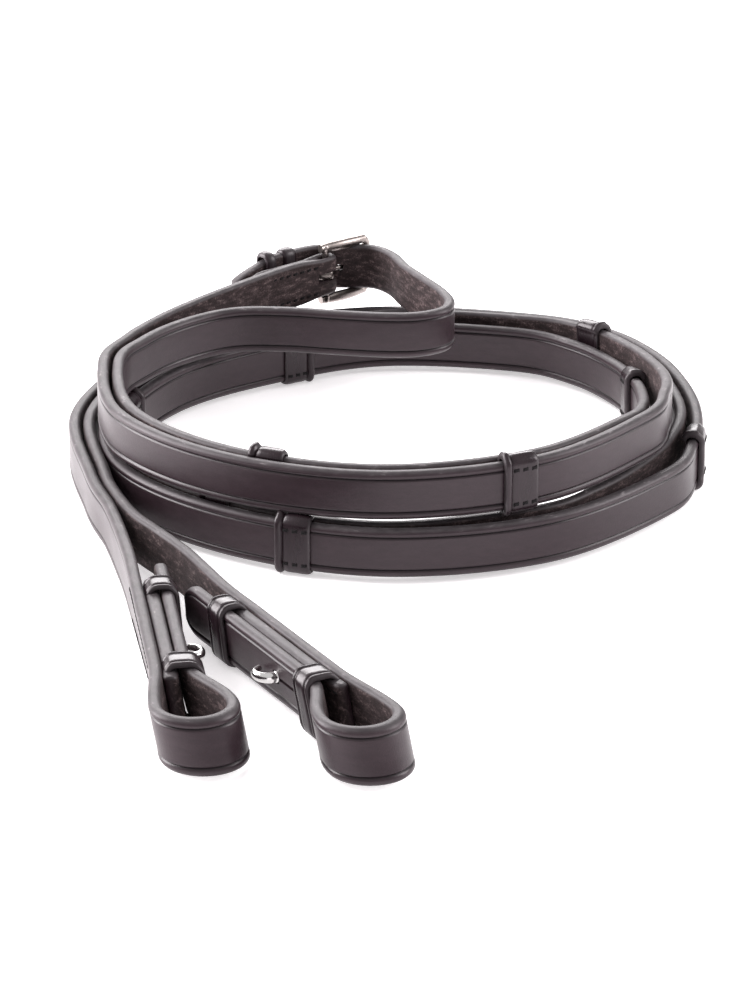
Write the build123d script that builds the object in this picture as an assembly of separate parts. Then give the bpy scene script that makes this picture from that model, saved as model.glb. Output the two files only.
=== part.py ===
"""Pair of leather riding reins: two hand-stop reins joined by a centre buckle, coiled on edge, with
a hook-stud billet loop at each bit end.  Millimetres, +Z up, bit ends towards -Y, floor at Z = 0."""
from build123d import *
import os
from math import atan2, ceil, cos, degrees, dist, hypot, pi, radians, sin

# ---------------------------------------------------------------- driving dimensions
STRAP_W = 16.0          # strap width, standing on edge
STRAP_T = 3.8           # leather thickness
FLOOR_Z = 1.85          # lower edge of a strap on the floor, held up by its hand stops
UPPER_Z = 20.0          # lower edge of the upper pair of straps
BUCKLE_Z = 21.2         # lower edge of the straps at the buckle
COIL_CENTRE = (-2.14, 63.95)
SOFT_GAP = 0.3          # gap between the chape and the heel bar
FLEX_GAP = 0.6          # cut across each rein where its free end starts to flex

STOP_L = 11.5           # hand stop: length along the rein
STOP_WALL = 1.2         # band thickness on the grain side
STOP_EDGE = 1.1         # band thickness over the strap edges
STOP_BACK = 0.6         # skived thickness on the flesh side
RIB_L = 2.2             # raised roll along one end of a stop
RIB_RISE = 0.6

LOOP_R = 11.0           # centre-line radius of the bit loop
LOOP_OFF = 8.5          # loop axis from the rein's centre line
RETURN_OFF = 8.6        # billet return from the rein's centre line
BULGE_L = 30.0          # length over which the loop closes to the flat billet
BILLET_L = 107.0         # loop axis to billet tip
BACK_T = 4.4            # stud backing thickness
BACK_OFF = 4.2
BACK_W = 15.0
STUD_A = 49.0           # hook stud from the loop axis
HOOK_R = 3.9            # centre line of the stud's half-ring hook
KEEPER_L = 9.0
KEEPER_AT = (26.5, 83.5)    # keeper centres from the loop axis
KEEPER_T = 1.4

BAR_POS = (-19.5, 106.5)    # heel bar of the buckle, from the coil centre
BUCKLE_DIR = 40.0           # direction of the buckle frame, degrees from +X
BAR_R = 1.2
FRAME_L = 18.5              # heel bar to far bar
FRAME_OPEN = 16.8           # inside height of the frame
FRAME_ROD = 2.2
CHAPE_T = 2.4
CHAPE_W = 13.6
CHAPE_L = 34.0
TONGUE_R = 0.95

# ---------------------------------------------------------------- routes, from the coil centre
# A coil point is (angle, radius, height of the lower edge); a free point is (x, y, height).
BUCKLE_LEAD = [(-25.0, 98.5, BUCKLE_Z)]
BUCKLE_COIL = [
    (110, 97, 21.2), (120, 90.5, 21.1), (135, 85.5, 21), (150, 85.5, 20.6), (165, 88.2, 20.2),
    (180, 91.6, 20), (210, 96.3, 20), (240, 98, 20), (270, 100.4, 20), (300, 100, 20), (330, 97.7, 19.9),
    (345, 95.3, 18.7), (360, 94, 14.5), (375, 95, 10.5), (390, 98.1, 7.7), (405, 101, 6.2), (420, 98.7, 5),
    (450, 93, 4), (480, 86.5, 2), (510, 86, FLOOR_Z), (540, 90.5, FLOOR_Z), (570, 96, FLOOR_Z), (600, 97.8, FLOOR_Z),
    (630, 103, FLOOR_Z), (660, 105.3, FLOOR_Z), (690, 105.8, FLOOR_Z), (705, 105, FLOOR_Z), (720, 104.6, FLOOR_Z),
    (735, 106, FLOOR_Z), (750, 109.7, FLOOR_Z), (765, 112.6, FLOOR_Z), (780, 109.7, FLOOR_Z), (810, 103, FLOOR_Z),
    (840, 98.8, FLOOR_Z), (870, 97.6, FLOOR_Z), (900, 101, FLOOR_Z), (930, 107.3, FLOOR_Z)]
BUCKLE_TAIL = [(-85.3, -81, FLOOR_Z), (-80.8, -101, FLOOR_Z), (-77.4, -119, FLOOR_Z)]
POINT_LEAD = [
    (-51.5, 87.8, 22.2), (-42, 96.8, 22.2), (-33, 104.8, 22.2), (-24, 111.9, 21.85), (-14, 114.2, 21.3),
    (-2.8, 114, 21.15), (4, 106.5, 21.1), (8.5, 94, 21), (15, 81.2, 20.7), (21, 69, 20.5), (23.5, 59, 20.3),
    (21, 50.5, 20.2), (12, 45.5, 20.1), (0, 45.5, 20), (-16, 48, 20), (-32, 51, 20)]
POINT_COIL = [
    (135, 71.2, 20), (150, 77.4, 20), (165, 82.3, 20), (180, 86.6, 20), (210, 91.2, 20), (240, 92.9, 20),
    (270, 95.3, 20), (300, 94.9, 20), (330, 90.7, 17.5), (345, 88, 13), (360, 86.6, 8.4), (375, 88.9, 4.4),
    (390, 92.9, 2.2), (405, 95.1, FLOOR_Z), (420, 93.4, FLOOR_Z), (450, 86, FLOOR_Z), (480, 78, FLOOR_Z), (510, 80.5, FLOOR_Z),
    (540, 85.3, FLOOR_Z), (570, 90.8, FLOOR_Z), (600, 92.2, FLOOR_Z), (630, 97.2, FLOOR_Z), (660, 97.2, FLOOR_Z),
    (675, 96, FLOOR_Z), (690, 95.2, FLOOR_Z), (705, 96.8, FLOOR_Z), (720, 99.4, FLOOR_Z), (735, 101, FLOOR_Z),
    (750, 104.8, FLOOR_Z),
    (765, 107.8, FLOOR_Z), (780, 104.8, FLOOR_Z), (810, 98, FLOOR_Z), (840, 93, FLOOR_Z), (870, 92.4, FLOOR_Z),
    (900, 96.2, FLOOR_Z), (930, 102.5, FLOOR_Z)]
POINT_TAIL = [(-83.8, -71, FLOOR_Z), (-77, -89, FLOOR_Z), (-69, -102.5, FLOOR_Z), (-59.2, -119.5, FLOOR_Z)]
BUCKLE_STOPS = [295, 403, 508, 614.5, 708]     # stop angles on the buckle rein, grain side outwards
POINT_STOPS = [248, 378, 472, 534, 596]      # stop angles on the point rein, grain side inwards
# Each bit end: loop axis from the coil centre, direction of the billet, side it folds to.
BIT_ENDS = {"left": ((-53.0, -230.5), 98.0, 1), "right": ((-6.5, -236.5), 119.0, -1)}


def coil_point(angle, radius, z):
    """Coil point as x, y, z from the coil centre."""
    return (radius * cos(radians(angle)), radius * sin(radians(angle)), z)


def placed(point):
    """Move a point from the coil centre to the part's own origin."""
    return (point[0] + COIL_CENTRE[0], point[1] + COIL_CENTRE[1]) + tuple(point[2:])


def smooth(points, step):
    """Catmull-Rom curve through points, with samples about a step apart."""
    ends = [points[0]] + points + [points[-1]]
    curve = []
    for p, q, r, s in zip(ends, ends[1:], ends[2:], ends[3:]):
        count = max(2, ceil(dist(q, r) / step))
        for k in range(count):
            t = k / count
            curve.append(tuple(
                0.5 * (2 * b + (c - a) * t + (2 * a - 5 * b + 4 * c - d) * t ** 2
                       + (3 * b - a - 3 * c + d) * t ** 3)
                for a, b, c, d in zip(p, q, r, s)))
    curve.append(points[-1])
    return curve


def normals(curve):
    """Left-hand horizontal unit normal at every sample of a curve."""
    result = []
    for i in range(len(curve)):
        a = curve[max(i - 1, 0)]
        b = curve[min(i + 1, len(curve) - 1)]
        size = hypot(b[0] - a[0], b[1] - a[1])
        result.append(((a[1] - b[1]) / size, (b[0] - a[0]) / size))
    return result


def strap(curve, widths=None, thicks=None):
    """Strap on edge along a curve: a ruled solid through upright rectangles."""
    sections = []
    for i, ((x, y, z), (nx, ny)) in enumerate(zip(curve, normals(curve))):
        width = widths[i] if widths else STRAP_W
        half = (thicks[i] if thicks else STRAP_T) / 2
        low = z + (STRAP_W - width) / 2
        corners = [(x + s * half * nx, y + s * half * ny, low + h)
                   for s, h in ((-1, 0), (1, 0), (1, width), (-1, width))]
        sections.append(Wire.make_polygon([placed(c) for c in corners]))
    return Solid.make_loft(sections, ruled=True)


def oriented(solid, x, y, z, direction, slope=0.0):
    """Place a solid whose local X runs along the rein, from the coil centre."""
    return Pos(*placed((x, y, z))) * Rot(0, 0, direction) * Rot(0, -slope, 0) * solid


def at_angle(route, angle):
    """Point of a route nearest to a coil angle, with the rein's direction there."""
    curve = smooth(route, 1.0)
    turned, last, best = None, None, None
    for i, (x, y, z) in enumerate(curve):
        now = degrees(atan2(y, x))
        turned = now % 360 if turned is None else turned + (now - last + 180) % 360 - 180
        last = now
        if i and hypot(x, y) > 70 and (best is None or abs(turned - angle) < best[0]):
            best = (abs(turned - angle), i)
    i = best[1]
    a, b = curve[i - 1], curve[i + 1]
    run = hypot(b[0] - a[0], b[1] - a[1])
    return curve[i], degrees(atan2(b[1] - a[1], b[0] - a[0])), degrees(atan2(b[2] - a[2], run))


def hand_stop(route, angle, grain):
    """Leather band round the strap with a raised roll at one end; grain is -1 right, +1 left."""
    (x, y, z), direction, slope = at_angle(route, angle)
    hole = (STRAP_T + 1.0, STRAP_W + 0.3)

    def band(length, rise):
        thick = hole[0] + STOP_WALL + rise + STOP_BACK
        shift = grain * (STOP_WALL + rise - STOP_BACK) / 2
        return Pos(0, shift, 0) * Box(length, thick, hole[1] + 2 * (STOP_EDGE + rise))

    body = band(STOP_L, 0) + Pos((RIB_L - STOP_L) / 2, 0, 0) * band(RIB_L, RIB_RISE)
    body -= Box(STOP_L + 2, hole[0], hole[1])
    stitches = []
    face_y = grain * (hole[0] / 2 + STOP_WALL + 0.15)
    for along in (-1.6, 1.2, 4.0):
        for height in (-5.6, 5.6):
            stitches.append(oriented(Pos(along, face_y, height) * Box(1.8, 0.3, 0.6),
                                     x, y, z + STRAP_W / 2, direction, slope))
    return oriented(body, x, y, z + STRAP_W / 2, direction, slope), stitches


def billet_frame(side):
    """Function from (along, across) of a billet to x, y from the coil centre."""
    (cx, cy), angle, fold = BIT_ENDS[side]
    ax, ay = cos(radians(angle)), sin(radians(angle))
    bx, by = ay * fold, -ax * fold

    def world(along, across):
        return (cx + along * ax + (across - LOOP_OFF) * bx, cy + along * ay + (across - LOOP_OFF) * by)
    return world


def swell(along):
    """1 at the loop axis, falling smoothly to 0 where the billet lies flat."""
    return (1 + cos(pi * min(along, BULGE_L) / BULGE_L)) / 2


def main_across(along):
    return (LOOP_OFF - LOOP_R) * swell(along)


def return_across(along):
    return RETURN_OFF + (LOOP_OFF + LOOP_R - RETURN_OFF) * swell(along)


def offset_line(curve, amount):
    """Curve moved sideways by an amount, left of travel positive."""
    return [(x + amount * nx, y + amount * ny) for (x, y, *_), (nx, ny) in zip(curve, normals(curve))]


def edges_through(points):
    return Polyline(*[placed(p) for p in points])


def upright_box(world, a0, a1, b0, b1, z0, z1):
    """Box on a billet: along a0..a1, across b0..b1, height z0..z1."""
    corners = [placed(world(a, b)) for a, b in ((a0, b0), (a1, b0), (a1, b1), (a0, b1))]
    return extrude(Pos(0, 0, z0) * make_face(Polyline(*corners, close=True)), z1 - z0, dir=(0, 0, 1))


def across_rod(side, along, b0, b1, radius):
    """Round rod across a billet at mid height, from b0 to b1."""
    world = billet_frame(side)
    mid = FLOOR_Z + STRAP_W / 2
    start = Vector(*placed(world(along, b0)), mid)
    end = Vector(*placed(world(along, b1)), mid)
    return extrude(Plane(start, z_dir=end - start) * Circle(radius), b1 - b0)


def billet_strap(side, lead):
    """Free end of a rein, its bit loop and the billet return: one strap with a true round loop."""
    world = billet_frame(side)
    fold = BIT_ENDS[side][2]
    steps = [BULGE_L * k / 6 for k in range(7)]
    main = lead + [world(a, main_across(a)) for a in reversed(steps[:-1])]
    back = [world(a, return_across(a)) for a in steps] + [world(65, RETURN_OFF), world(BILLET_L, RETURN_OFF)]
    half = STRAP_T / 2

    def side_edges(amount):
        radius = LOOP_R + amount
        arc = ThreePointArc(*[placed(world(a, b)) for a, b in (
            (0, LOOP_OFF - radius), (-radius, LOOP_OFF), (0, LOOP_OFF + radius))])
        into = offset_line(main, -fold * amount)
        into[-1] = world(0, LOOP_OFF - radius)
        out = offset_line(back, -fold * amount)
        out[0] = world(0, LOOP_OFF + radius)
        return into, arc, out

    outer_in, outer_arc, outer_out = side_edges(half)
    inner_in, inner_arc, inner_out = side_edges(-half)
    outline = Wire([*edges_through(outer_in).edges(), outer_arc.edge(), *edges_through(outer_out).edges(),
                    *edges_through([outer_out[-1], inner_out[-1]]).edges(),
                    *edges_through(inner_out).edges(), inner_arc.edge(), *edges_through(inner_in).edges(),
                    *edges_through([inner_in[0], outer_in[0]]).edges()])
    body = Pos(0, 0, FLOOR_Z) * extrude(make_face(outline), STRAP_W, dir=(0, 0, 1))
    hole = across_rod(side, STUD_A, RETURN_OFF - 3, RETURN_OFF + 3, 2.0)
    slit = upright_box(world, STUD_A - 11, STUD_A, RETURN_OFF - 3, RETURN_OFF + 3,
                       FLOOR_Z + STRAP_W / 2 - 0.5, FLOOR_Z + STRAP_W / 2 + 0.5)
    body = body - hole - slit
    for sign in (-1, 1):            # rounded billet tip
        corner = Pos(BILLET_L - 3, 0, sign * 5) * Box(6.2, 6, 6.2) - Pos(BILLET_L - 6, 0, sign * 2) * (
            Rot(90, 0, 0) * Cylinder(6, 7))
        x, y = world(0, RETURN_OFF)
        body -= oriented(corner, x, y, FLOOR_Z + STRAP_W / 2, BIT_ENDS[side][1])
    return body


def stud_backing(side):
    """Middle layer of a billet, pocketed for the keepers and bored for the stud."""
    world = billet_frame(side)
    samples = [19, 23, 27, 30, 60, 91]
    curve = [(*world(a, BACK_OFF + main_across(a)), FLOOR_Z + 0.5) for a in samples]
    body = strap(curve, [BACK_W] * len(samples), [BACK_T] * len(samples))
    for centre in KEEPER_AT:
        body -= upright_box(world, centre - KEEPER_L / 2 - 0.2, centre + KEEPER_L / 2 + 0.2, -2, 3.5, 0, 20)
    return body - across_rod(side, STUD_A, 0, 9, 1.45) - across_rod(side, STUD_A, 1, 2.9, 4.8)


def hook_stud(side):
    """Round plate, shank and half-ring hook that holds the billet return."""
    world = billet_frame(side)
    mid = FLOOR_Z + STRAP_W / 2
    face = RETURN_OFF + STRAP_T / 2
    plate = across_rod(side, STUD_A, 2.05, 2.85, 4.6)
    shank = across_rod(side, STUD_A, 2.5, face + 0.8, 1.4)
    ring = Location(placed((*world(STUD_A + HOOK_R, face + 0.6), mid))) * Torus(HOOK_R, 1.25)
    ring &= upright_box(world, STUD_A - 3, STUD_A + 12, face + 0.5, face + 9, 0, 20)
    return plate + shank + ring


def keeper(side, centre):
    """Band round backing and return, sewn in between backing and rein."""
    world = billet_frame(side)
    a0, a1 = centre - KEEPER_L / 2, centre + KEEPER_L / 2
    far = return_across(a0) + STRAP_T / 2 + 0.35
    near = 3.4
    low, high = FLOOR_Z - 0.05, FLOOR_Z + STRAP_W + 0.05
    band = upright_box(world, a0, a1, near - KEEPER_T, far + KEEPER_T, low - 1.2, high + 1.2)
    return band - upright_box(world, a0 - 1, a1 + 1, near, far, low, high)


def billet_stitches(side):
    """Two rows of stitches on the rein's outer face along the backing."""
    world = billet_frame(side)
    result = []
    for k in range(18):
        along = 32 + 3.3 * k
        for height in (3.0, STRAP_W - 3.0):
            result.append(upright_box(world, along, along + 2.0, -STRAP_T / 2 - 0.25, -STRAP_T / 2,
                                      FLOOR_Z + height - 0.3, FLOOR_Z + height + 0.3))
    return result


def buckle_frame():
    """Heel-bar buckle frame, local X from heel bar to far bar, opening upright."""
    outer = Box(FRAME_L + FRAME_ROD, FRAME_ROD, FRAME_OPEN + 2 * FRAME_ROD)
    outer = fillet(outer.edges().filter_by(Axis.Y), 3.0)
    outer -= Box(FRAME_L - FRAME_ROD, 2 * FRAME_ROD, FRAME_OPEN)
    outer -= Pos(-FRAME_L / 2, 0, 0) * Box(2 * FRAME_ROD, 2 * FRAME_ROD, FRAME_OPEN)
    frame = Pos(FRAME_L / 2, 0, 0) * outer + Cylinder(BAR_R, FRAME_OPEN + 1)
    return at_buckle(frame)


def at_buckle(solid):
    """Place a solid built about the heel bar's middle."""
    return oriented(solid, BAR_POS[0], BAR_POS[1], BUCKLE_Z + STRAP_W / 2, BUCKLE_DIR)


def buckle_tongue():
    """Tongue: a collar running on the heel bar and a pin resting on the far bar."""
    level = FRAME_ROD / 2 + TONGUE_R + 0.05
    pin = Pos((FRAME_L + 1.2) / 2, level, 0) * (Rot(0, 90, 0) * Cylinder(TONGUE_R, FRAME_L + 1.2))
    collar = Cylinder(BAR_R + 1.1, 3.0)
    return at_buckle(collar + pin - Cylinder(BAR_R + 0.06, 5))


def buckle_rein():
    """Buckle rein up to its free end: chape, fold round the heel bar, coil."""
    fold_r = BAR_R + SOFT_GAP + CHAPE_T / 2
    chape = [(-CHAPE_L, 0.6), (-20, 0.6), (-10, 0.6), (-4.5, 1.9)]
    turn = [(fold_r * sin(radians(a)), fold_r * cos(radians(a))) for a in range(0, 181, 20)]
    world = [(BAR_POS[0] + x * cos(radians(BUCKLE_DIR)) - y * sin(radians(BUCKLE_DIR)),
              BAR_POS[1] + x * sin(radians(BUCKLE_DIR)) + y * cos(radians(BUCKLE_DIR)), BUCKLE_Z)
             for x, y in chape + turn + [(-4, -fold_r - 0.3)]]
    route = BUCKLE_LEAD + [coil_point(*p) for p in BUCKLE_COIL] + BUCKLE_TAIL[:1]
    body = smooth(route, 7.0)
    curve = world + body
    widths = [CHAPE_W] * (len(world) - 1) + [CHAPE_W + 1] + [STRAP_W] * len(body)
    thicks = [CHAPE_T] * len(world) + [STRAP_T] * len(body)
    solid = strap(curve, widths, thicks)
    return solid - at_buckle(Box(16, 12, 4.2)), route


def point_rein():
    """Point rein up to its free end, with the hole that the tongue is through."""
    route = POINT_LEAD + [coil_point(*p) for p in POINT_COIL] + POINT_TAIL[:1]
    body = smooth(route, 6.0)
    widths = [STRAP_W] * len(body)
    widths[:4] = [5.0, 10.0, 14.0, 16.0]
    solid = strap(body, widths)
    hole = Pos(9, FRAME_ROD / 2 + TONGUE_R, 0) * (Rot(0, 90, 0) * Cylinder(2.1, 14))
    return solid - at_buckle(hole), route


def buckle_keeper(along, across):
    """Fixed keeper round the point, sewn in behind the chape."""
    depth = STRAP_T + 0.6
    band = Box(5.6, depth + 2.2, STRAP_W + 3.0) - Box(6.6, depth, STRAP_W + 0.4)
    return at_buckle(Pos(-along, across, 1.0) * (Rot(0, 0, 2) * band))


def chape_stitches():
    """Two rows of stitches on the flesh face along the turned-back chape."""
    result = []
    for k in range(7):
        for height in (-4.8, 4.8):
            result.append(at_buckle(Pos(-9 - 3.2 * k, -4.75 - 0.13 * k - 0.015 * k * k, height) * Box(2.0, 0.3, 0.6)))
    return result


def save(name, *solids):
    shape = solids[0] if len(solids) == 1 else Compound(children=list(solids))
    shape.label = name
    export_step(shape, f"parts/{name}.step")


os.makedirs("parts", exist_ok=True)
rein_a, route_a = buckle_rein()
rein_b, route_b = point_rein()
save("buckle_rein_strap", rein_a)
save("point_rein_strap", rein_b)
stop_stitches = []
for label, route, angles, grain in (("buckle", route_a, BUCKLE_STOPS, -1), ("point", route_b, POINT_STOPS, 1)):
    for number, angle in enumerate(angles, 1):
        stop, stitches = hand_stop(route, angle, grain)
        save(f"{label}_rein_stop_{number}", stop)
        stop_stitches += stitches
save("hand_stop_stitches", *stop_stitches)
for side, tail in (("left", BUCKLE_TAIL), ("right", POINT_TAIL)):
    world = billet_frame(side)
    ends = [(*world(a, 0), FLOOR_Z) for a in (100, 80, 60, 45, BULGE_L)]
    route = smooth(tail + ends, 6.0)
    gap = FLEX_GAP / dist(route[0][:2], route[1][:2])
    route[0] = tuple(p + gap * (q - p) for p, q in zip(route[0], route[1]))
    save(f"{side}_bit_end_strap", billet_strap(side, [p[:2] for p in route]))
    save(f"{side}_stud_backing", stud_backing(side))
    save(f"{side}_hook_stud", hook_stud(side))
    save(f"{side}_keeper_loop", keeper(side, KEEPER_AT[0]))
    save(f"{side}_keeper_tip", keeper(side, KEEPER_AT[1]))
    save(f"{side}_billet_stitches", *billet_stitches(side))
save("buckle_frame", buckle_frame())
save("buckle_tongue", buckle_tongue())
save("buckle_keeper_near", buckle_keeper(12, 7.5))
save("buckle_keeper_far", buckle_keeper(21, 7.2))
save("chape_stitches", *chape_stitches())
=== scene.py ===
"""Pair of dark leather riding reins, coiled on edge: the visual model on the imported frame.
Lengths are worked out in millimetres in the part's frame and scaled to metres in the meshes."""

from math import ceil, cos, dist, pi, radians, sin, sqrt

import bmesh
import bpy
import numpy as np
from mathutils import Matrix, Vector, noise

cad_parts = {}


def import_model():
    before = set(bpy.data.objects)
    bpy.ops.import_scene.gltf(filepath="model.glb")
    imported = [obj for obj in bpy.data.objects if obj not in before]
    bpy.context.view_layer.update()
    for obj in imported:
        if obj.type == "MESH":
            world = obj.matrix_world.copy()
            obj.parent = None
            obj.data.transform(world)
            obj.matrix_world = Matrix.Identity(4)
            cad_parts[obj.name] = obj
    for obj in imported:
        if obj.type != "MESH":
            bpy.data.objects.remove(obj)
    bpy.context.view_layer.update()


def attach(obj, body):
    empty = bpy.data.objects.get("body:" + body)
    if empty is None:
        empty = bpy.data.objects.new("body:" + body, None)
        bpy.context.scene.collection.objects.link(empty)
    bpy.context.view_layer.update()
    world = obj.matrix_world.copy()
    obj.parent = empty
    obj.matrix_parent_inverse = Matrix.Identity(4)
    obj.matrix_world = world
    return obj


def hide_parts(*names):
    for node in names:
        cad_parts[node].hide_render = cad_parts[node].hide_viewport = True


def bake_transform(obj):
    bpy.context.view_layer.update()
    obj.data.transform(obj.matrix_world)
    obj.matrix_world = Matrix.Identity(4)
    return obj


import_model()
MM = 0.001

# ------------------------------------------------------------ driving dimensions, as in the CAD
STRAP_W, STRAP_T = 16.0, 3.8
FLOOR_Z = 1.85
BUCKLE_Z = 21.2
COIL_CENTRE = (-2.14, 63.95)
LOOP_R, LOOP_OFF, RETURN_OFF = 11.0, 8.5, 8.6
BULGE_L, BILLET_L = 30.0, 107.0
BACK_T, BACK_OFF, BACK_W = 4.4, 4.2, 15.0
STUD_A, HOOK_R = 49.0, 3.9
KEEPER_L, KEEPER_T = 9.0, 1.4
KEEPER_AT = (26.5, 83.5)
BAR_POS, BUCKLE_DIR = (-19.5, 106.5), 40.0
BAR_R, FRAME_L, FRAME_OPEN, FRAME_ROD = 1.2, 18.5, 16.8, 2.2
CHAPE_T, CHAPE_W, CHAPE_L = 2.4, 13.6, 34.0
TONGUE_R, SLOT_L = 0.95, 10.5
STOP_L = 11.5
STOP_IN, STOP_OUT, STOP_WALL = 0.12, 0.14, 1.2      # gaps behind and in front of the strap, outer wall
TONGUE_HOLE_R, STUD_HOLE_R = 1.3, 2.0
ROW_IN = 3.0                                        # stitch rows from the strap's edges on the billets
NO_END = 9e9                                        # past any strap: that end isn't rounded

BUCKLE_LEAD = [(-25.0, 98.5, BUCKLE_Z)]
BUCKLE_COIL = [
    (110, 97, 21.2), (120, 90.5, 21.1), (135, 85.5, 21), (150, 85.5, 20.6), (165, 88.2, 20.2),
    (180, 91.6, 20), (210, 96.3, 20), (240, 98, 20), (270, 100.4, 20), (300, 100, 20), (330, 97.7, 19.9),
    (345, 95.3, 18.7), (360, 94, 14.5), (375, 95, 10.5), (390, 98.1, 7.7), (405, 101, 6.2), (420, 98.7, 5),
    (450, 93, 4), (480, 86.5, 2), (510, 86, FLOOR_Z), (540, 90.5, FLOOR_Z), (570, 96, FLOOR_Z),
    (600, 97.8, FLOOR_Z), (630, 103, FLOOR_Z), (660, 105.3, FLOOR_Z), (690, 105.8, FLOOR_Z),
    (705, 105, FLOOR_Z), (720, 104.6, FLOOR_Z), (735, 106, FLOOR_Z), (750, 109.7, FLOOR_Z),
    (765, 112.6, FLOOR_Z), (780, 109.7, FLOOR_Z), (810, 103, FLOOR_Z), (840, 98.8, FLOOR_Z),
    (870, 97.6, FLOOR_Z), (900, 101, FLOOR_Z), (930, 107.3, FLOOR_Z)]
BUCKLE_TAIL = [(-85.3, -81, FLOOR_Z), (-80.8, -101, FLOOR_Z), (-77.4, -119, FLOOR_Z)]
POINT_LEAD = [
    (-51.5, 87.8, 22.2), (-42, 96.8, 22.2), (-33, 104.8, 22.2), (-24, 111.9, 21.85), (-14, 114.2, 21.3),
    (-2.8, 114, 21.15), (4, 106.5, 21.1), (8.5, 94, 21), (15, 81.2, 20.7), (21, 69, 20.5), (23.5, 59, 20.3),
    (21, 50.5, 20.2), (12, 45.5, 20.1), (0, 45.5, 20), (-16, 48, 20), (-32, 51, 20)]
POINT_COIL = [
    (135, 71.2, 20), (150, 77.4, 20), (165, 82.3, 20), (180, 86.6, 20), (210, 91.2, 20), (240, 92.9, 20),
    (270, 95.3, 20), (300, 94.9, 20), (330, 90.7, 17.5), (345, 88, 13), (360, 86.6, 8.4), (375, 88.9, 4.4),
    (390, 92.9, 2.2), (405, 95.1, FLOOR_Z), (420, 93.4, FLOOR_Z), (450, 86, FLOOR_Z), (480, 78, FLOOR_Z),
    (510, 80.5, FLOOR_Z), (540, 85.3, FLOOR_Z), (570, 90.8, FLOOR_Z), (600, 92.2, FLOOR_Z),
    (630, 97.2, FLOOR_Z), (660, 97.2, FLOOR_Z), (675, 96, FLOOR_Z), (690, 95.2, FLOOR_Z),
    (705, 96.8, FLOOR_Z), (720, 99.4, FLOOR_Z), (735, 101, FLOOR_Z), (750, 104.8, FLOOR_Z),
    (765, 107.8, FLOOR_Z), (780, 104.8, FLOOR_Z), (810, 98, FLOOR_Z), (840, 93, FLOOR_Z),
    (870, 92.4, FLOOR_Z), (900, 96.2, FLOOR_Z), (930, 102.5, FLOOR_Z)]
POINT_TAIL = [(-83.8, -71, FLOOR_Z), (-77, -89, FLOOR_Z), (-69, -102.5, FLOOR_Z), (-59.2, -119.5, FLOOR_Z)]
BUCKLE_STOPS = [295, 403, 508, 614.5, 708]
POINT_STOPS = [248, 378, 472, 534, 596]
BIT_ENDS = {"left": ((-53.0, -230.5), 98.0, 1), "right": ((-6.5, -236.5), 119.0, -1)}
CENTRE_Z = FLOOR_Z + STRAP_W / 2


# ------------------------------------------------------------ lines in space
def coil_point(angle, radius, z):
    return (radius * cos(radians(angle)), radius * sin(radians(angle)), z)


def smooth(points, step):
    """Catmull-Rom curve through points, with samples about a step apart."""
    ends = [points[0]] + points + [points[-1]]
    curve = []
    for p, q, r, s in zip(ends, ends[1:], ends[2:], ends[3:]):
        count = max(2, ceil(dist(q, r) / step))
        for k in range(count):
            t = k / count
            curve.append(tuple(
                0.5 * (2 * b + (c - a) * t + (2 * a - 5 * b + 4 * c - d) * t ** 2
                       + (3 * b - a - 3 * c + d) * t ** 3)
                for a, b, c, d in zip(p, q, r, s)))
    curve.append(points[-1])
    return curve


class Line:
    """Centre line of a strip, given from the coil centre, with its frame at any length along it."""

    def __init__(self, points, soften=0.7, step=0.25):
        p = np.array(points, float)
        p[:, 0] += COIL_CENTRE[0]
        p[:, 1] += COIL_CENTRE[1]
        p = self.even(p, step)
        if soften:
            reach = int(3 * soften / step)
            weight = np.exp(-0.5 * (np.arange(-reach, reach + 1) * step / soften) ** 2)
            weight /= weight.sum()
            first, last = p[0] - p[1], p[-1] - p[-2]
            before = p[0] + first * np.arange(reach, 0, -1)[:, None]
            after = p[-1] + last * np.arange(1, reach + 1)[:, None]
            long = np.vstack([before, p, after])
            p = np.stack([np.convolve(long[:, k], weight, "valid") for k in range(3)], 1)
        self.p = p
        self.s = np.concatenate([[0], np.cumsum(np.linalg.norm(np.diff(p, axis=0), axis=1))])
        self.length = self.s[-1]

    @staticmethod
    def even(p, step):
        s = np.concatenate([[0], np.cumsum(np.linalg.norm(np.diff(p, axis=0), axis=1))])
        t = np.linspace(0, s[-1], max(3, int(s[-1] / step)))
        return np.stack([np.interp(t, s, p[:, k]) for k in range(3)], 1)

    def at(self, s):
        s = np.atleast_1d(s)
        return np.stack([np.interp(s, self.s, self.p[:, k]) for k in range(3)], 1)

    def frames(self, s):
        """Points, directions, left-hand normals and up vectors at lengths s."""
        s = np.atleast_1d(np.asarray(s, float))
        ahead, behind = np.minimum(s + 0.5, self.length), np.maximum(s - 0.5, 0)
        along = self.at(ahead) - self.at(behind)
        along /= np.linalg.norm(along, axis=1)[:, None]
        left = np.stack([-along[:, 1], along[:, 0], np.zeros(len(s))], 1)
        left /= np.linalg.norm(left, axis=1)[:, None]
        return self.at(s), along, left, np.cross(along, left)

    def nearest(self, x, y, z=None):
        """Length along the line nearest to a point given from the coil centre."""
        d = np.hypot(self.p[:, 0] - x - COIL_CENTRE[0], self.p[:, 1] - y - COIL_CENTRE[1])
        if z is not None:
            d = np.hypot(d, self.p[:, 2] - z)
        return self.s[int(np.argmin(d))]

    def stations(self, start, end, finest=0.45, widest=2.2, extra=()):
        """Lengths from start to end, closer together where the line curves."""
        result, s = [start], start
        while s < end:
            a, b = self.at(max(s - 1, 0))[0], self.at(min(s + 1, self.length))[0]
            bow = np.linalg.norm((a + b) / 2 - self.at(s)[0])
            radius = 0.5 / max(bow, 1e-4)
            s += min(widest, max(finest, radius * 0.10))
            result.append(min(s, end))
        for e in extra:
            result = [r for r in result if abs(r - e) > 0.16 or r in (start, end)]
        return np.array(sorted(set(result) | {e for e in extra if start < e < end}))


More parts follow.
